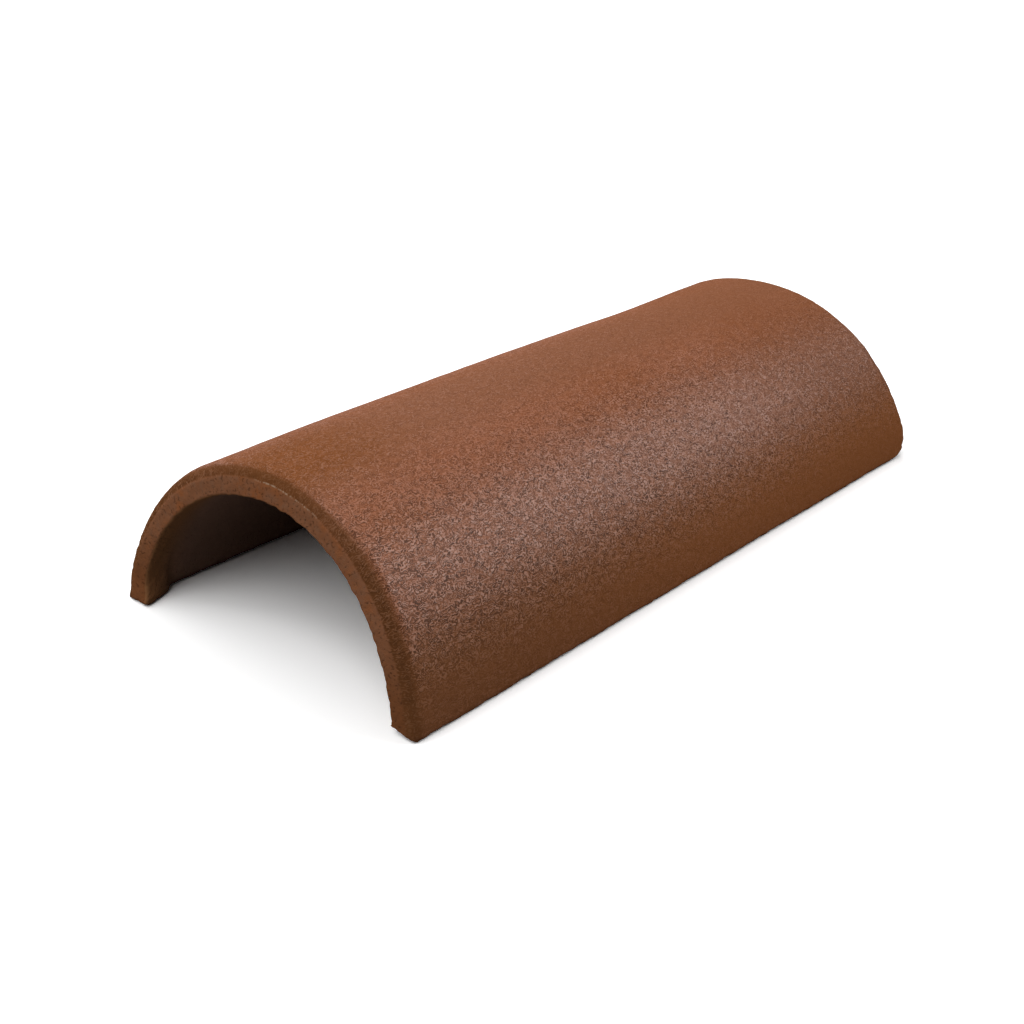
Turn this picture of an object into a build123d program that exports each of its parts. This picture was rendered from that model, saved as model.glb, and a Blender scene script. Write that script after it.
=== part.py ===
from build123d import *
from math import asin, degrees
import os

# Half-round ridge tile: one piece of moulded, fired clay, in millimetres.
# It stands on its two feet on Z = 0, its length along X. The end that is
# raised a little at the crown is at +X. The origin is under the middle.

length = 450.0  # overall, at the feet
width = 218.0  # over the outer faces, at the feet
rise = 97.0  # from the floor to the crown, away from the raised end
wall = 15.5  # thickness of the shell
plain_lean = 14.5  # how far the crown of the -X end is set back from its feet
raised_lean = 11.0  # the same at the +X end
flare_rise = 1.2  # how far the crown lifts at the +X end
flare_length = 45.0  # length over which it lifts
plain_arris = 7.5  # radius where the outer face turns into the -X end face
raised_arris = 4.5  # the same at the +X end
inner_arris = 1.5  # radius where the inner face turns into an end face
foot_bevel = 2.0  # cut off the outer long edge of each foot
foot_inner_bevel = 4.5  # cut off the inner long edge of each foot

# The outer face is an arc through both feet and the crown. The inner face has
# the same centre, which lies a little below the floor.
outer_radius = (width**2 / 4 + rise**2) / (2 * rise)
inner_radius = outer_radius - wall
axis_height = rise - outer_radius
plain_x = -length / 2
raised_x = length / 2
flare_x = raised_x - raised_lean - flare_length
flare_radius = (flare_length**2 + flare_rise**2) / (2 * flare_rise)


def shell_profile():
    """Wall of the tile over its whole length, cut along the crown."""
    inner_z = axis_height + inner_radius
    flare_turn = degrees(asin((raised_x - flare_x) / flare_radius))
    with BuildSketch(Plane.XZ) as sketch:
        with BuildLine():
            flare = JernArc((flare_x, rise), (1, 0), flare_radius, flare_turn)
            Polyline(flare @ 0, (plain_x, rise), (plain_x, inner_z), (raised_x, inner_z), flare @ 1)
        make_face()
    return sketch.sketch


def long_edges(shell, distance_out):
    """The edges of both soles that run along the tile, this far from its middle plane."""
    sole = shell.faces().group_by(Axis.Z)[0]
    along = [edge for edge in sole.edges() if edge.bounding_box().size.X > wall]
    return [edge for edge in along if abs(abs((edge @ 0.5).Y) - distance_out) < wall / 4]


def half_shell():
    """The wall turned about the axis of the arc, cut off level, with bevelled feet."""
    tube = revolve(shell_profile(), Axis((0, 0, axis_height), (1, 0, 0)), 360)
    reach = 2 * outer_radius
    above_floor = Box(2 * length, 2 * reach, reach, align=(Align.CENTER, Align.CENTER, Align.MIN))
    shell = tube & above_floor
    inner_half_width = (inner_radius**2 - axis_height**2) ** 0.5
    shell = chamfer(long_edges(shell, inner_half_width), foot_inner_bevel)
    return chamfer(long_edges(shell, width / 2), foot_bevel)


def leaning_envelope():
    """Everything between the two leaning end faces."""
    top = 2 * rise
    with BuildSketch(Plane.XZ) as sketch:
        with BuildLine():
            Polyline(
                (plain_x, 0),
                (plain_x + plain_lean * top / rise, top),
                (raised_x - raised_lean * top / rise, top),
                (raised_x, 0),
                close=True,
            )
        make_face()
    return extrude(sketch.sketch, width, both=True)


def end_arch(tile, end, crown_height):
    """The arch-shaped edge of one end face whose crown is nearest to this height."""
    face = tile.faces().sort_by(Axis.X)[end]
    return face.edges().sort_by(lambda edge: abs(edge.bounding_box().max.Z - crown_height))[0]


def ridge_tile():
    tile = half_shell() & leaning_envelope()
    inner_crown = rise - wall
    tile = fillet(end_arch(tile, 0, rise), plain_arris)
    tile = fillet(end_arch(tile, -1, rise + flare_rise), raised_arris)
    tile = fillet(end_arch(tile, 0, inner_crown), inner_arris)
    return fillet(end_arch(tile, -1, inner_crown), inner_arris)


if __name__ == "__main__":
    os.makedirs("parts", exist_ok=True)
    export_step(ridge_tile(), "parts/ridge_tile.step")
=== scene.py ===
import math

import bmesh
import bpy
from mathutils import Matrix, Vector, noise


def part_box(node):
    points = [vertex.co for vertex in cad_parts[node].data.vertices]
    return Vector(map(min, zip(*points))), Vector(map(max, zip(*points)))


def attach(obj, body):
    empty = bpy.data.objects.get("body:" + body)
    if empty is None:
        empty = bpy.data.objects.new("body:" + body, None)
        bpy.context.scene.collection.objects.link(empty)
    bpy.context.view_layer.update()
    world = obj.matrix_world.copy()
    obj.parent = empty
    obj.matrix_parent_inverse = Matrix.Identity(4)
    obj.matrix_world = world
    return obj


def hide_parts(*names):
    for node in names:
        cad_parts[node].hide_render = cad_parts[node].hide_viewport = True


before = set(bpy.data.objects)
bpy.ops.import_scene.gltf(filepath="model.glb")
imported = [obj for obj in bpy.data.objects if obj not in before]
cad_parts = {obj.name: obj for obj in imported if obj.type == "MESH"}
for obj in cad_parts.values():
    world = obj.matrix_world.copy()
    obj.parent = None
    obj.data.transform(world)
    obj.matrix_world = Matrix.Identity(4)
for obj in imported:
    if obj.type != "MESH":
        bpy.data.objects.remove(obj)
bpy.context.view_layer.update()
tileLow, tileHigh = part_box("ridge_tile")


# camera, to the left of the plain end, looking down along the tile
cameraSetup = {
    "target": (-0.0377, 0.0, 0.0147),
    "azimuth": -48.48,
    "elevation": 24.93,
    "distance": 0.8229,
    "focalPixels": 1450.4,      # for a picture of pictureWidth
    "pictureWidth": 1024,
    "sensorWidth": 36.0,
    "clip": (0.01, 60.0),
}


def addCamera(setup):
    azimuth = math.radians(setup["azimuth"])
    elevation = math.radians(setup["elevation"])
    back = Vector((
        math.sin(azimuth) * math.cos(elevation),
        -math.cos(azimuth) * math.cos(elevation),
        math.sin(elevation),
    ))
    data = bpy.data.cameras.new("photoCamera")
    data.sensor_width = setup["sensorWidth"]
    data.lens = setup["focalPixels"] / setup["pictureWidth"] * setup["sensorWidth"]
    data.clip_start, data.clip_end = setup["clip"]
    camera = bpy.data.objects.new("photoCamera", data)
    camera.location = Vector(setup["target"]) + back * setup["distance"]
    camera.rotation_euler = back.to_track_quat("Z", "Y").to_euler()
    bpy.context.collection.objects.link(camera)
    bpy.context.scene.camera = camera


addCamera(cameraSetup)
print("camera placed")


# the tile is a slab of clay: cut into a grid, its edges eased, bent over a former, then worn
tileForm = {
    "length": tileHigh.x - tileLow.x,
    "width": 0.218,             # across the feet
    "rise": 0.097,              # floor to crown
    "wall": 0.0155,
    "plainLean": 0.0145,        # how far the crown is set back at the -X end
    "raisedLean": 0.011,        # and at the +X end
    "flareRise": 0.0012,        # lift of the outer face at the +X end
    "flareLength": 0.045,
    "plainArris": 0.0075,       # outer edge of the -X end
    "raisedArris": 0.0045,      # outer edge of the +X end
    "innerArris": 0.0015,       # inner edge of both ends
    "footOuterEase": 0.0022,
    "footInnerEase": 0.0048,
    "cornerEase": 0.003,        # upright corners of the feet
    "farCornerEase": 0.018,     # the one of the -Y foot at the +X end
    "roundness": 2.0,           # 1 is a flat bevel, 2 a quarter circle
    "footRoundness": 1.3,
    # a cut's number and its place, from one edge of the slab to the other
    "lengthStations": ((0, 0.0), (10, 0.009), (230, 0.443), (237, 0.450)),
    "acrossStations": ((0, 0.0), (5, 0.0165), (164, 0.9835), (169, 1.0)),
    "wallStations": ((0, 0.0), (5, 0.0075), (9, 0.0138), (12, 0.0155)),
}

# the feet at the plain end; a pair is where a change starts and where it is complete
footShape = {
    # -Y foot: its arris sharpens towards the sole, and the inner side of the sole is worn
    "sharpHeel": 0.45,          # share of the arris that is left at the sole
    "sharpReach": (0.018, 0.002),
    "wornSole": 0.0045,
    "wornCurve": 0.8,
    "wornReach": (0.020, 0.020 / 3),
    # +Y foot: it keeps a square inner edge near the end, is thicker there, and its toe has crept
    "squareEdge": 0.7,          # share of the inner ease that is missing
    "squareReach": (0.021, 0.017),
    "thickReach": (0.019, 0.014),
    "thickAbove": 0.0006,       # extra wall over the sole
    "thickAboveReach": (0.060, 0.020),
    "thickSole": 0.0036,        # and at it
    "thickSoleReach": (0.022, 0.002),
    "toeShift": Vector((-0.0030, -0.0045, 0.0)),
    "toeReachAlong": (0.016, 0.004),
    "toeReachUp": (0.014, 0.0),
}

# what the kiln did to it; angles are degrees from the crown
kilnWarp = {
    "hog": 0.0013,              # the middle stands this much further out than the ends
    "endDrop": 0.0005,
    "hogFades": (84.0, 60.0),   # the feet stay straight
    "settled": (0.150, 0.215),  # along the tile, towards the +X end
    "crownDrop": 0.0019,
    "haunchSpread": 0.0003,
    "crownHalfAngle": 22.0,
    # place along, its reach, angle (+Y positive), its reach, how far out
    "swells": (
        (-0.205, 0.030, 50.0, 24.0, 0.0004),
        (-0.200, 0.034, 10.0, 26.0, -0.0011),
        (0.122, 0.036, 20.0, 60.0, -0.0008),
        (0.186, 0.018, 25.0, 45.0, 0.0005),
        (0.150, 0.060, -83.0, 30.0, 0.0006),
    ),
}


def clamp(value, low=0.0, high=1.0):
    return max(low, min(high, value))


def fade(start, end, value):
    t = clamp((value - start) / (end - start))
    return t * t * (3.0 - 2.0 * t)


def placeBetween(stations, cut):
    for (cutA, placeA), (cutB, placeB) in zip(stations, stations[1:]):
        if cut <= cutB:
            return placeA + (placeB - placeA) * (cut - cutA) / (cutB - cutA)
    return stations[-1][1]


def easeEdge(gapA, gapB, radius, roundness):
    # gaps are the distances from two faces that meet in an edge
    inA, inB = radius - gapA, radius - gapB
    if inA <= 0.0 or inB <= 0.0:
        return gapA, gapB
    size = (inA ** roundness + inB ** roundness) ** (1.0 / roundness)
    scale = max(inA, inB) / size
    return radius - inA * scale, radius - inB * scale


def outerArc(form):
    # radius of the outer face, and its length from foot to foot
    radius = (form["width"] ** 2 / 4 + form["rise"] ** 2) / (2 * form["rise"])
    return radius, 2 * radius * math.acos((radius - form["rise"]) / radius)


def cutSlab(form):
    slab = bmesh.new()
    bmesh.ops.create_cube(slab, size=1.0)
    stations = [form[name] for name in ("lengthStations", "acrossStations", "wallStations")]
    counts = [places[-1][0] for places in stations]
    for axis, count in enumerate(counts):
        along = [edge for edge in slab.edges
                 if abs((edge.verts[1].co - edge.verts[0].co)[axis]) > 0.5]
        bmesh.ops.subdivide_edges(slab, edges=along, cuts=count - 1, use_grid_fill=True)
    for vert in slab.verts:
        vert.co = [placeBetween(stations[axis], (vert.co[axis] + 0.5) * counts[axis])
                   for axis in range(3)]
    return slab


def easeSlab(slab, form, foot, arc):
    # x runs along, y across from -Y to +Y as a share, z in from the outer face
    length, wall, curve = form["length"], form["wall"], form["roundness"]
    for vert in slab.verts:
        x, share, depth = vert.co
        across = share * arc
        plainEnd, rightFoot = x < length / 2, across < arc / 2
        endGap = x if plainEnd else length - x
        footGap = across if rightFoot else arc - across
        arris = form["plainArris"] if plainEnd else form["raisedArris"]
        innerEase = form["footInnerEase"]
        if not rightFoot:
            innerEase *= 1.0 - foot["squareEdge"] * fade(*foot["squareReach"], x)
        elif plainEnd:
            arris *= 1.0 - (1.0 - foot["sharpHeel"]) * fade(*foot["sharpReach"], footGap)
            worn = foot["wornSole"] * (depth / wall) ** foot["wornCurve"]
            footGap = max(footGap, worn * fade(*foot["wornReach"], x))
        corner = form["farCornerEase"] if rightFoot and not plainEnd else form["cornerEase"]
        endGap, depth = easeEdge(endGap, depth, arris, curve)
        endGap, inner = easeEdge(endGap, wall - depth, form["innerArris"], curve)
        footGap, depth = easeEdge(footGap, wall - inner, form["footOuterEase"], form["footRoundness"])
        footGap, inner = easeEdge(footGap, wall - depth, innerEase, form["footRoundness"])
        endGap, footGap = easeEdge(endGap, footGap, corner, curve)
        x = endGap if plainEnd else length - endGap
        across = footGap if rightFoot else arc - footGap
        vert.co = (x, across / arc, wall - inner)


def warpAt(x, angle, form, warp):
    degrees = math.degrees(angle)
    hog = warp["hog"] * (1.0 - (2.0 * x / form["length"]) ** 2) - warp["endDrop"]
    hog *= fade(*warp["hogFades"], abs(degrees))
    crown = math.exp(-(degrees / warp["crownHalfAngle"]) ** 2)
    settling = warp["haunchSpread"] - warp["crownDrop"] * crown
    out = hog + fade(*warp["settled"], x) * settling
    for place, reach, turn, turnReach, lift in warp["swells"]:
        out += lift * math.exp(-((x - place) / reach) ** 2 - ((degrees - turn) / turnReach) ** 2)
    return out


def bendSlab(slab, form, foot, warp):
    length, rise, wall = form["length"], form["rise"], form["wall"]
    radius, arc = outerArc(form)
    axisHeight = rise - radius
    flareStart = length / 2 - form["raisedLean"] - form["flareLength"]
    flareRadius = form["flareLength"] ** 2 / (2 * form["flareRise"])
    for vert in slab.verts:
        share, turn, depth = vert.co[0] / length, vert.co[1] * 2.0 - 1.0, vert.co[2]
        reach = radius - depth
        angle = turn * math.acos(-axisHeight / reach)
        height = axisHeight + reach * math.cos(angle)
        low = -length / 2 + form["plainLean"] * height / rise
        high = length / 2 - form["raisedLean"] * height / rise
        x = low + (high - low) * share
        lift = max(0.0, x - flareStart) ** 2 / (2 * flareRadius)
        reach += lift * (1.0 - depth / wall) + warpAt(x, angle, form, warp)
        plainGap, footGap = x + length / 2, (1.0 - turn) * arc / 2
        if turn > 0.0:
            above, sole = foot["thickAbove"], foot["thickSole"]
            thicker = above * fade(*foot["thickAboveReach"], footGap)
            thicker += (sole - above) * fade(*foot["thickSoleReach"], footGap)
            reach -= fade(*foot["thickReach"], plainGap) * thicker * depth / wall
        angle = turn * math.acos(-axisHeight / reach)
        vert.co = (x, reach * math.sin(angle), axisHeight + reach * math.cos(angle))
        if turn > 0.0:
            toe = fade(*foot["toeReachUp"], footGap) * fade(*foot["toeReachAlong"], plainGap)
            vert.co += foot["toeShift"] * toe


# wear and hand marks, moved into the mesh; sizes are the lengths of the marks, the rest their depth
tileWear = {
    "waveSize": (0.11, 0.05, 0.05),
    "wave": 0.00035,
    "dimpleSize": (0.011, 0.008, 0.008),
    "dimple": 0.00009,
    "dimpleNoise": (0.8, 2.0, 2),       # fall-off, step and number of the layers of noise
    "cutSize": (0.0045, 0.0045, 0.0045),
    "cut": 0.00045,             # ends, soles and inside
    "cutNoise": (0.6, 2.1, 3),
    "lumpSize": (0.005, 0.005, 0.02),
    "lump": 0.0003,             # ragged inner rim
    "footLump": 0.0009,         # and inner edges of the feet
    "footReach": (0.006, 0.002),
    "lumpNoise": (0.7, 2.2, 3),
    "lumpOffset": Vector((7.3, 1.9, 4.1)),
    "rimReach": 0.0035,
    "chipSize": (0.013, 0.013, 0.013),
    "chip": 0.0012,
    "chipFrom": 0.36,           # noise level above which the outer arris is chipped
    "chipReach": 0.006,
    "chipOffset": Vector((3.1, 8.2, 0.6)),
    "outerReach": 0.003,        # in from the outer face
    "edgeReach": 0.004,         # from the edges of the outer face
}


def scaled(place, size):
    return Vector((place[0] / size[0], place[1] / size[1], place[2] / size[2]))


def wearSlab(slab, layer, form, wear, arc):
    slab.normal_update()
    moves = []
    for vert in slab.verts:
        place = vert[layer]
        endGap = form["length"] / 2 - abs(place[0])
        footGap = arc / 2 - abs(place[1])
        innerGap = form["wall"] - place[2]
        edgeGap = min(endGap, footGap)
        outerFace = 1.0 - fade(0.0, wear["outerReach"], place[2])
        rough = 1.0 - outerFace * fade(0.0, wear["edgeReach"], edgeGap)
        dimples = noise.fractal(scaled(place, wear["dimpleSize"]), *wear["dimpleNoise"])
        cuts = noise.fractal(scaled(place, wear["cutSize"]), *wear["cutNoise"])
        rim = fade(wear["rimReach"], 0.0, max(innerGap, edgeGap))
        lumpPlace = scaled(place, wear["lumpSize"]) + wear["lumpOffset"]
        lumps = noise.fractal(lumpPlace, *wear["lumpNoise"])
        lump = wear["lump"] + (wear["footLump"] - wear["lump"]) * fade(*wear["footReach"], footGap)
        arris = fade(wear["chipReach"], 0.0, max(place[2], endGap))
        chips = noise.noise(scaled(place, wear["chipSize"]) + wear["chipOffset"])
        move = wear["wave"] * noise.noise(scaled(place, wear["waveSize"])) * outerFace
        move += wear["dimple"] * dimples
        move += wear["cut"] * rough * cuts
        move += lump * rim * lumps
        move += wear["chip"] * arris * max(0.0, chips - wear["chipFrom"])
        moves.append(vert.normal * move)
    for vert, move in zip(slab.verts, moves):
        vert.co -= move         # into the clay
        vert.co.z = max(vert.co.z, 0.0)


def makeTile(form, foot, warp, wear):
    arc = outerArc(form)[1]
    slab = cutSlab(form)
    layer = slab.verts.layers.float_vector.new("slab")
    for vert in slab.verts:
        vert[layer] = (vert.co.x - form["length"] / 2, (vert.co.y - 0.5) * arc, vert.co.z)
    easeSlab(slab, form, foot, arc)
    bendSlab(slab, form, foot, warp)
    # depth runs inward in the slab, so the bend has turned it inside out
    bmesh.ops.reverse_faces(slab, faces=slab.faces)
    wearSlab(slab, layer, form, wear, arc)
    for face in slab.faces:
        face.smooth = True
    mesh = bpy.data.meshes.new("ridgeTileBody")
    slab.to_mesh(mesh)
    slab.free()
    tile = bpy.data.objects.new("ridgeTileBody", mesh)
    bpy.context.collection.objects.link(tile)
    return tile


tile = makeTile(tileForm, footShape, kilnWarp, tileWear)
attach(tile, "root")
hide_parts("ridge_tile")
print("tile shaped,", len(tile.data.polygons), "faces")


# small tools for wiring nodes; a number or a socket may be given anywhere
def wire(tree, source, socket):
    if isinstance(source, bpy.types.NodeSocket):
        tree.links.new(source, socket)
    elif isinstance(source, tuple) and socket.type == "RGBA":
        socket.default_value = (*source, 1.0)
    else:
        socket.default_value = source


def maths(tree, operation, first, second=0.0, third=0.0):
    node = tree.nodes.new("ShaderNodeMath")
    node.operation = operation
    for socket, source in zip(node.inputs, (first, second, third)):
        wire(tree, source, socket)
    return node.outputs[0]


def times(tree, product, *factors):
    for factor in factors:
        product = maths(tree, "MULTIPLY", product, factor)
    return product


def swing(tree, level, width):
    # noise runs from 0 to 1, this about 0
    return maths(tree, "MULTIPLY_ADD", level, width, -width / 2)


def remap(tree, value, fromLow, fromHigh, toLow=0.0, toHigh=1.0):
    node = tree.nodes.new("ShaderNodeMapRange")
    node.interpolation_type = "SMOOTHSTEP"
    for name, source in zip(("Value", "From Min", "From Max", "To Min", "To Max"),
                            (value, fromLow, fromHigh, toLow, toHigh)):
        wire(tree, source, node.inputs[name])
    return node.outputs["Result"]


# the first input, the second and the output of a Mix node, for each kind
mixSockets = {"FLOAT": (2, 3, 0), "VECTOR": (4, 5, 1), "RGBA": (6, 7, 2)}


def mix(tree, kind, share, first, second):
    node = tree.nodes.new("ShaderNodeMix")
    node.data_type = kind
    firstPlace, secondPlace, output = mixSockets[kind]
    for number, source in ((0, share), (firstPlace, first), (secondPlace, second)):
        wire(tree, source, node.inputs[number])
    return node.outputs[output]


def blendColour(tree, share, first, second):
    return mix(tree, "RGBA", share, first, second)


def stretched(tree, place, factors):
    node = tree.nodes.new("ShaderNodeVectorMath")
    node.operation = "MULTIPLY"
    wire(tree, place, node.inputs[0])
    wire(tree, factors, node.inputs[1])
    return node.outputs[0]


def noiseNode(tree, place, size, detail, rough):
    # size is the length of one swell, in metres
    node = tree.nodes.new("ShaderNodeTexNoise")
    wire(tree, place, node.inputs["Vector"])
    wire(tree, maths(tree, "DIVIDE", 1.0, size), node.inputs["Scale"])
    node.inputs["Detail"].default_value = detail
    node.inputs["Roughness"].default_value = rough
    return node.outputs[0]


def startGroup(name, takes, gives):
    group = bpy.data.node_groups.new(name, "ShaderNodeTree")
    for label, kind in takes:
        group.interface.new_socket(name=label, in_out="INPUT", socket_type="NodeSocket" + kind)
    for label, kind in gives:
        group.interface.new_socket(name=label, in_out="OUTPUT", socket_type="NodeSocket" + kind)
    return group, group.nodes.new("NodeGroupInput").outputs, group.nodes.new("NodeGroupOutput").inputs


def useGroup(tree, group, **given):
    node = tree.nodes.new("ShaderNodeGroup")
    node.node_tree = group
    for name, source in given.items():
        wire(tree, source, node.inputs[name])
    return node.outputs


# The settings of groups and clay give noise as its detail and roughness, and a range as where a
# level starts and ends, then the two levels if they aren't 0 and 1. A group's sizes are shares
# of the size that it is given.

# fine leathery skin: short curly ridges and creases that follow the contours of a wider swell
skinGrain = {
    "swellSize": 2.8,
    "swellNoise": (1.5, 0.5),
    "swellHeight": 1.8,
    "curls": 42.0,              # contours of the swell, in radians
    "curlHeight": 0.7,
    "grainNoise": (2.0, 0.6),
    "grainHeight": 2.8,
    "patchSize": 4.5,
    "patchNoise": (2.0, 0.5),
    "patches": (0.35, 0.60, 0.55, 1.0),
    "creases": (-0.10, -0.65),
    "ridges": (0.10, 0.75),
}


def makeSkinGroup(grain):
    group, takes, gives = startGroup(
        "claySkin",
        (("Place", "Vector"), ("Size", "Float")),
        (("Height", "Float"), ("Creases", "Float"), ("Ridges", "Float")),
    )
    place, size = takes["Place"], takes["Size"]
    swell = noiseNode(group, place, times(group, size, grain["swellSize"]), *grain["swellNoise"])
    fine = noiseNode(group, place, size, *grain["grainNoise"])
    curls = maths(group, "SINE", times(group, swell, grain["curls"]))
    height = swing(group, fine, grain["grainHeight"])
    height = maths(group, "MULTIPLY_ADD", curls, grain["curlHeight"], height)
    height = maths(group, "ADD", height, swing(group, swell, grain["swellHeight"]))
    patches = noiseNode(group, place, times(group, size, grain["patchSize"]), *grain["patchNoise"])
    strength = remap(group, patches, *grain["patches"])
    creases = remap(group, height, *grain["creases"])
    ridges = remap(group, height, *grain["ridges"])
    group.links.new(times(group, height, strength), gives["Height"])
    group.links.new(times(group, creases, strength), gives["Creases"])
    group.links.new(times(group, ridges, strength), gives["Ridges"])
    return group


# clay that was cut or wiped: grains, pits and no skin
cutGrain = {
    "grainNoise": (4.0, 0.7),
    "pitSize": 0.8,
    "pitNoise": (2.0, 0.6),
    "pits": (0.56, 0.70),
    "pitDepth": 0.5,
}


def makeCutGroup(grain):
    group, takes, gives = startGroup(
        "cutClay",
        (("Place", "Vector"), ("Size", "Float")),
        (("Height", "Float"), ("Pits", "Float")),
    )
    place, size = takes["Place"], takes["Size"]
    grains = noiseNode(group, place, size, *grain["grainNoise"])
    holes = noiseNode(group, place, times(group, size, grain["pitSize"]), *grain["pitNoise"])
    pits = remap(group, holes, *grain["pits"])
    height = maths(group, "SUBTRACT", grains, times(group, pits, grain["pitDepth"]))
    group.links.new(height, gives["Height"])
    group.links.new(pits, gives["Pits"])
    return group


# uneven firing: three clay colours in soft clouds
firingClouds = {
    "wideNoise": (2.0, 0.5),
    "warmer": (0.45, 0.7),
    "smallSize": 0.23,
    "smallNoise": (3.0, 0.55),
    "paler": (0.42, 0.75, 0.0, 0.7),
}


def makeFiringGroup(clouds):
    group, takes, gives = startGroup(
        "unevenFiring",
        (("Place", "Vector"), ("Size", "Float"),
         ("Usual", "Color"), ("Warmer", "Color"), ("Paler", "Color")),
        (("Colour", "Color"),),
    )
    place, size = takes["Place"], takes["Size"]
    wide = noiseNode(group, place, size, *clouds["wideNoise"])
    small = noiseNode(group, place, times(group, size, clouds["smallSize"]), *clouds["smallNoise"])
    colour = blendColour(group, remap(group, wide, *clouds["warmer"]), takes["Usual"], takes["Warmer"])
    colour = blendColour(group, remap(group, small, *clouds["paler"]), colour, takes["Paler"])
    group.links.new(colour, gives["Colour"])
    return group


skinGroup = makeSkinGroup(skinGrain)
cutGroup = makeCutGroup(cutGrain)
firingGroup = makeFiringGroup(firingClouds)

clayFinish = {
    # where the clay was cut or wiped
    "endFace": (-0.0068, -0.0050, 1.0, 0.0),        # past the arris
    "endFaceDepth": (0.0005, 0.002, 1.0, 0.0),      # in from the end
    "sole": (0.0, 0.002, 1.0, 0.0),
    "insideFace": (0.0, 0.0012, 1.0, 0.0),
    # painted shade: the dark band on the rounded arris, which faces away from the light, starts and
    # ends past it, further out on the sides
    "bandFace": (-0.0075, -0.0050),
    "bandStart": (0.020, 0.080, -0.0005, 0.0010),
    "bandEnd": (0.020, 0.080, 0.0030, 0.0080),
    "bandSides": (0.030, 0.095, 0.84, 1.0),
    "bandRaisedEnd": (0.02, 0.03, 1.0, 0.25),
    # colours of the outer face, and where on it they lie
    "cloudSize": 0.10,
    "outer": (0.256, 0.092, 0.044),
    "outerWarm": (0.238, 0.080, 0.032),
    "outerPale": (0.270, 0.106, 0.058),
    # painted shade: the +X end darker off the crown, where the light falls off
    "raisedEndShade": (0.205, 0.072, 0.030),
    "raisedEndShadeAlong": (0.06, 0.20),
    "raisedEndShadeSides": (0.008, 0.036, 0.0, 0.8),
    # painted shade: the crown darker, to take off the stronger light that falls on the top
    "crown": (0.200, 0.076, 0.036),
    "crownShadeSides": (0.010, 0.044, 0.9, 0.0),
    "scorch": (0.178, 0.056, 0.014),        # crown of the plain end
    "scorchAlong": (0.02, 0.11, 1.0, 0.0),
    "scorchSides": (0.01, 0.05, 1.0, 0.0),
    "low": (0.240, 0.084, 0.028),           # by the feet
    "lowPlain": (0.176, 0.066, 0.025),      # and at the plain end
    "lowAlong": (0.0, 0.30),
    "lowHeight": (0.028, 0.070, 1.0, 0.0),
    # painted shade on the rounded arris, with the ridges of the grain painted less dark
    "arris": (0.120, 0.045, 0.016),
    "arrisShadeRidges": (0.230, 0.115, 0.060),
    "arrisShadeRidgeShare": 0.22,
    # end faces, soles and inside
    "cutCloudSize": 0.02,
    "cutFace": (0.206, 0.085, 0.041),
    "cutFaceWarm": (0.235, 0.080, 0.028),
    "cutFacePale": (0.190, 0.092, 0.052),
    "cutFaceLow": (0.145, 0.053, 0.020),
    "cutFaceLowHeight": (0.010, 0.060, 0.9, 0.0),
    "insideRim": (0.210, 0.095, 0.040),
    "inside": (0.205, 0.115, 0.080),
    "insideAlong": (0.004, 0.028),
    # grain
    "skinSize": 0.00105,
    "skinStretch": (1.0 / 1.3, 1.0, 1.0),   # along, across and inward
    "bandStretch": (0.5, 1.1, 0.5),
    "bandGrainFrom": 0.35,
    "skinDepth": 0.00030,
    "skinSides": (0.012, 0.078, 0.36, 1.0),     # how strong it is; weakest on the crown,
    "skinLow": (0.012, 0.050, 0.25, 1.0),       # by the feet,
    "skinBand": (0.2, 0.8, 1.0, 0.4),           # on the arris
    "skinAlong": (0.02, 0.20, 1.0, 0.6),        # and towards the raised end
    # painted highlight on the ridges of the grain
    "ridge": (0.45, 0.205, 0.125),
    "ridgeHighlight": 0.40,
    # painted shade in the creases of the grain
    "crease": (0.0, 0.0, 0.0),
    "creaseShade": 0.64,
    "cutSize": 0.0022,
    "cutDepth": 0.0006,
    "pit": (0.03, 0.012, 0.004),
    "pitShade": 0.40,
    # the pale scrape along the edge of the plain end
    "scuff": (0.36, 0.25, 0.17),
    "scuffStrength": 0.7,
    "scuffDepth": 0.0058,       # in from the outer face
    "scuffWander": (0.012, 2.0, 0.5),       # size, then noise
    "scuffWanderWidth": 0.002,
    "scuffLine": (0.0001, 0.0006, 1.0, 0.0),
    "scuffAlong": (0.001, 0.003, 1.0, 0.0),
    "scuffMiddle": -0.017,      # across
    "scuffReach": (0.028 * 0.6, 0.028, 1.0, 0.0),
    "scuffGrain": (0.003, 3.0, 0.7),
    "scuffBroken": (0.42, 0.60),
    # surface
    "roughness": 0.8,
    "coat": 0.31,               # sheen, on the polished ridges of the haunches
    "coatRidges": 0.75,         # share of it that is on ridges only
    "coatBandLoss": 0.85,
    "coatRoughness": 0.42,
    "coatIor": 2.2,
}


def tilePlaces(tree, form):
    # where on the tile, in metres, measured on the slab before it was bent
    attribute = tree.nodes.new("ShaderNodeAttribute")
    attribute.attribute_name = "slab"
    parts = tree.nodes.new("ShaderNodeSeparateXYZ")
    tree.links.new(attribute.outputs["Vector"], parts.inputs[0])
    along, across, depth = parts.outputs
    sideways = maths(tree, "ABSOLUTE", across)
    endGap = maths(tree, "SUBTRACT", form["length"] / 2, maths(tree, "ABSOLUTE", along))
    return {
        "slab": attribute.outputs["Vector"],
        "along": along,
        "across": across,
        "depth": depth,
        "sideways": sideways,
        "endGap": endGap,
        "plainGap": maths(tree, "ADD", along, form["length"] / 2),
        "footGap": maths(tree, "SUBTRACT", outerArc(form)[1] / 2, sideways),
        "innerGap": maths(tree, "SUBTRACT", form["wall"], depth),
        "pastArris": maths(tree, "SUBTRACT", endGap, depth),    # below 0 on the end face
    }


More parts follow.
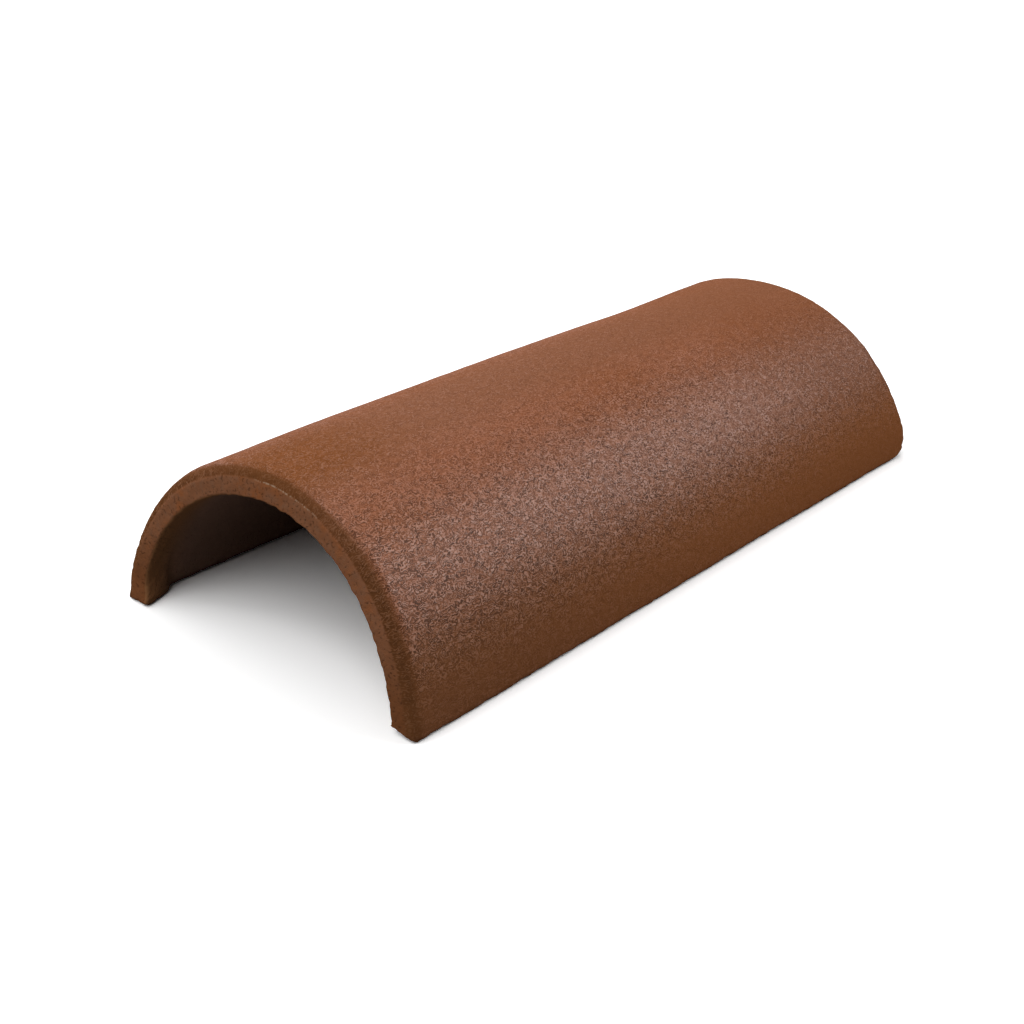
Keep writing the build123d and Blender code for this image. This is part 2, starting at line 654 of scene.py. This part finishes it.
def clayMasks(tree, finish, at):
    onEnd = times(tree, remap(tree, at["pastArris"], *finish["endFace"]),
                  remap(tree, at["endGap"], *finish["endFaceDepth"]))
    onSole = remap(tree, at["footGap"], *finish["sole"])
    inside = remap(tree, at["innerGap"], *finish["insideFace"])
    cut = maths(tree, "MAXIMUM", maths(tree, "MAXIMUM", onEnd, onSole), inside)
    # where shade is painted on the arris
    bandStart = remap(tree, at["sideways"], *finish["bandStart"])
    bandEnd = remap(tree, at["sideways"], *finish["bandEnd"])
    shadeBand = times(
        tree,
        remap(tree, at["pastArris"], *finish["bandFace"]),
        remap(tree, at["pastArris"], bandStart, bandEnd, 1.0, 0.0),
        remap(tree, at["sideways"], *finish["bandSides"]),
        remap(tree, at["plainGap"], *finish["bandRaisedEnd"]),
    )
    grain = times(
        tree,
        remap(tree, at["sideways"], *finish["skinSides"]),
        remap(tree, at["footGap"], *finish["skinLow"]),
        remap(tree, shadeBand, *finish["skinBand"]),
        remap(tree, at["along"], *finish["skinAlong"]),
    )
    return cut, inside, shadeBand, grain


def skinOn(tree, finish, at, shadeBand):
    # the grain is drawn out on the arris
    place = mix(tree, "VECTOR", maths(tree, "GREATER_THAN", shadeBand, finish["bandGrainFrom"]),
                stretched(tree, at["slab"], finish["skinStretch"]),
                stretched(tree, at["slab"], finish["bandStretch"]))
    return useGroup(tree, skinGroup, Place=place, Size=finish["skinSize"])


def outerColour(tree, finish, at, shadeBand, skin, grain):
    colour = useGroup(tree, firingGroup, Place=at["slab"], Size=finish["cloudSize"],
                      Usual=finish["outer"], Warmer=finish["outerWarm"],
                      Paler=finish["outerPale"])["Colour"]
    # painted shade towards the +X end, off the crown
    raisedEndShade = times(tree, remap(tree, at["along"], *finish["raisedEndShadeAlong"]),
                      remap(tree, at["sideways"], *finish["raisedEndShadeSides"]))
    colour = blendColour(tree, raisedEndShade, colour, finish["raisedEndShade"])
    # painted shade on the crown
    crown = remap(tree, at["sideways"], *finish["crownShadeSides"])
    colour = blendColour(tree, crown, colour, finish["crown"])
    scorch = times(tree, remap(tree, at["plainGap"], *finish["scorchAlong"]),
                   remap(tree, at["sideways"], *finish["scorchSides"]))
    colour = blendColour(tree, scorch, colour, finish["scorch"])
    lowest = blendColour(tree, remap(tree, at["plainGap"], *finish["lowAlong"]),
                         finish["lowPlain"], finish["low"])
    colour = blendColour(tree, remap(tree, at["footGap"], *finish["lowHeight"]), colour, lowest)
    # painted shade on the arris, less dark on the ridges of the grain
    shadeRidges = times(tree, skin["Ridges"], finish["arrisShadeRidgeShare"])
    arris = blendColour(tree, shadeRidges, finish["arris"], finish["arrisShadeRidges"])
    colour = blendColour(tree, shadeBand, colour, arris)
    # painted highlight on the ridges of the grain
    paintedHighlight = times(tree, skin["Ridges"], grain, finish["ridgeHighlight"])
    colour = blendColour(tree, paintedHighlight, colour, finish["ridge"])
    # painted shade in the creases of the grain
    shade = times(tree, skin["Creases"], grain, finish["creaseShade"])
    return blendColour(tree, shade, colour, finish["crease"])


def cutColour(tree, finish, at, cutSkin):
    colour = useGroup(tree, firingGroup, Place=at["slab"], Size=finish["cutCloudSize"],
                      Usual=finish["cutFace"], Warmer=finish["cutFaceWarm"],
                      Paler=finish["cutFacePale"])["Colour"]
    low = remap(tree, at["footGap"], *finish["cutFaceLowHeight"])
    colour = blendColour(tree, low, colour, finish["cutFaceLow"])
    return blendColour(tree, times(tree, cutSkin["Pits"], finish["pitShade"]), colour, finish["pit"])


def scuffMask(tree, finish, at):
    wander = noiseNode(tree, at["slab"], *finish["scuffWander"])
    depth = maths(tree, "ADD", at["depth"], swing(tree, wander, finish["scuffWanderWidth"]))
    off = maths(tree, "ABSOLUTE", maths(tree, "SUBTRACT", depth, finish["scuffDepth"]))
    spread = maths(tree, "ABSOLUTE", maths(tree, "SUBTRACT", at["across"], finish["scuffMiddle"]))
    broken = noiseNode(tree, at["slab"], *finish["scuffGrain"])
    return times(
        tree,
        remap(tree, off, *finish["scuffLine"]),
        remap(tree, at["plainGap"], *finish["scuffAlong"]),
        remap(tree, spread, *finish["scuffReach"]),
        remap(tree, broken, *finish["scuffBroken"]),
    )


def makeClay(finish, form):
    material = bpy.data.materials.new("firedClay")
    material.use_nodes = True
    tree = material.node_tree
    shader = tree.nodes["Principled BSDF"]
    at = tilePlaces(tree, form)
    cut, inside, shadeBand, grain = clayMasks(tree, finish, at)
    skin = skinOn(tree, finish, at, shadeBand)
    cutSkin = useGroup(tree, cutGroup, Place=at["slab"], Size=finish["cutSize"])

    outer = outerColour(tree, finish, at, shadeBand, skin, grain)
    colour = blendColour(tree, cut, outer, cutColour(tree, finish, at, cutSkin))
    deep = blendColour(tree, remap(tree, at["endGap"], *finish["insideAlong"]),
                       finish["insideRim"], finish["inside"])
    colour = blendColour(tree, inside, colour, deep)
    scuff = times(tree, scuffMask(tree, finish, at), finish["scuffStrength"])
    tree.links.new(blendColour(tree, scuff, colour, finish["scuff"]), shader.inputs["Base Color"])

    # sheen
    ridges = finish["coatRidges"]
    polished = times(
        tree,
        maths(tree, "MULTIPLY_ADD", skin["Ridges"], ridges, 1.0 - ridges),
        maths(tree, "MULTIPLY_ADD", shadeBand, -finish["coatBandLoss"], 1.0),
        grain,
        maths(tree, "SUBTRACT", 1.0, cut),
    )
    tree.links.new(times(tree, polished, finish["coat"]), shader.inputs["Coat Weight"])
    shader.inputs["Coat Roughness"].default_value = finish["coatRoughness"]
    shader.inputs["Coat IOR"].default_value = finish["coatIor"]
    shader.inputs["Specular IOR Level"].default_value = 0.0
    shader.inputs["Roughness"].default_value = finish["roughness"]

    # relief
    skinHeight = times(tree, skin["Height"], grain, finish["skinDepth"])
    cutHeight = times(tree, cutSkin["Height"], finish["cutDepth"])
    bump = tree.nodes.new("ShaderNodeBump")
    bump.inputs["Distance"].default_value = 1.0
    tree.links.new(mix(tree, "FLOAT", cut, skinHeight, cutHeight), bump.inputs["Height"])
    tree.links.new(bump.outputs["Normal"], shader.inputs["Normal"])
    return material


tile.data.materials.append(makeClay(clayFinish, tileForm))
print("clay mixed")


# floor, world and lamps
studio = {
    "floorSize": 12.0,
    "floorDrop": 0.0001,        # keeps the floor clear of the soles
    "floorSeen": 1.20,          # to the camera, a little over white
    "floorMirrored": 0.95,      # in reflections
    "floorBounce": 0.28,        # in the light that it throws back on the tile
    "ambient": 0.08,
    "white": (1.0, 1.0, 1.0, 1.0),
    # lamps: strength, angle, direction to the lamp
    "side": (0.82, 75.0, (0.12, 0.72, 0.69)),
    "front": (0.54, 60.0, (-0.64, 0.0, 0.77)),
    "sheen": (0.46, 35.0, (0.70, -0.42, 0.57)),
}


def floorMaterial(setup):
    material = bpy.data.materials.new("paleFloor")
    material.use_nodes = True
    tree = material.node_tree
    tree.nodes.clear()
    path = tree.nodes.new("ShaderNodeLightPath").outputs
    bounce = setup["floorBounce"]
    mirrored = maths(tree, "MAXIMUM", path["Is Glossy Ray"], path["Is Transmission Ray"])
    level = maths(tree, "MULTIPLY_ADD", mirrored, setup["floorMirrored"] - bounce, bounce)
    seen = maths(tree, "MULTIPLY_ADD", path["Is Camera Ray"], setup["floorSeen"] - bounce, level)
    diffuse = tree.nodes.new("ShaderNodeBsdfDiffuse")
    tree.links.new(seen, diffuse.inputs["Color"])
    # clear from below, so that the underside of the tile can be looked at
    clear = tree.nodes.new("ShaderNodeBsdfTransparent")
    sides = tree.nodes.new("ShaderNodeMixShader")
    tree.links.new(tree.nodes.new("ShaderNodeNewGeometry").outputs["Backfacing"], sides.inputs[0])
    tree.links.new(diffuse.outputs["BSDF"], sides.inputs[1])
    tree.links.new(clear.outputs["BSDF"], sides.inputs[2])
    output = tree.nodes.new("ShaderNodeOutputMaterial")
    tree.links.new(sides.outputs["Shader"], output.inputs["Surface"])
    return material


def addFloor(setup):
    grid = bmesh.new()
    bmesh.ops.create_grid(grid, x_segments=1, y_segments=1, size=setup["floorSize"] / 2)
    bmesh.ops.translate(grid, vec=(0.0, 0.0, -setup["floorDrop"]), verts=grid.verts)
    mesh = bpy.data.meshes.new("floor")
    grid.to_mesh(mesh)
    grid.free()
    floor = bpy.data.objects.new("floor", mesh)
    bpy.context.collection.objects.link(floor)
    mesh.materials.append(floorMaterial(setup))


def addWorld(setup):
    world = bpy.data.worlds.new("studio")
    world.use_nodes = True
    tree = world.node_tree
    path = tree.nodes.new("ShaderNodeLightPath").outputs
    seen = maths(tree, "MAXIMUM", path["Is Camera Ray"], path["Is Glossy Ray"])
    seen = maths(tree, "MAXIMUM", seen, path["Is Transmission Ray"])
    level = maths(tree, "MULTIPLY_ADD", seen, 1.0 - setup["ambient"], setup["ambient"])
    background = tree.nodes["Background"]
    background.inputs["Color"].default_value = setup["white"]
    tree.links.new(level, background.inputs["Strength"])
    bpy.context.scene.world = world


def addSun(name, setup):
    strength, angle, toward = setup[name]
    data = bpy.data.lights.new(name, "SUN")
    data.energy = strength * math.pi        # 1 shows a surface that faces it in its own colour
    data.angle = math.radians(angle)
    lamp = bpy.data.objects.new(name, data)
    lamp.rotation_euler = Vector(toward).to_track_quat("Z", "Y").to_euler()
    bpy.context.collection.objects.link(lamp)


addFloor(studio)
addWorld(studio)
for lampName in ("side", "front", "sheen"):
    addSun(lampName, studio)
bpy.context.scene.view_settings.view_transform = "Standard"
print("studio lit")
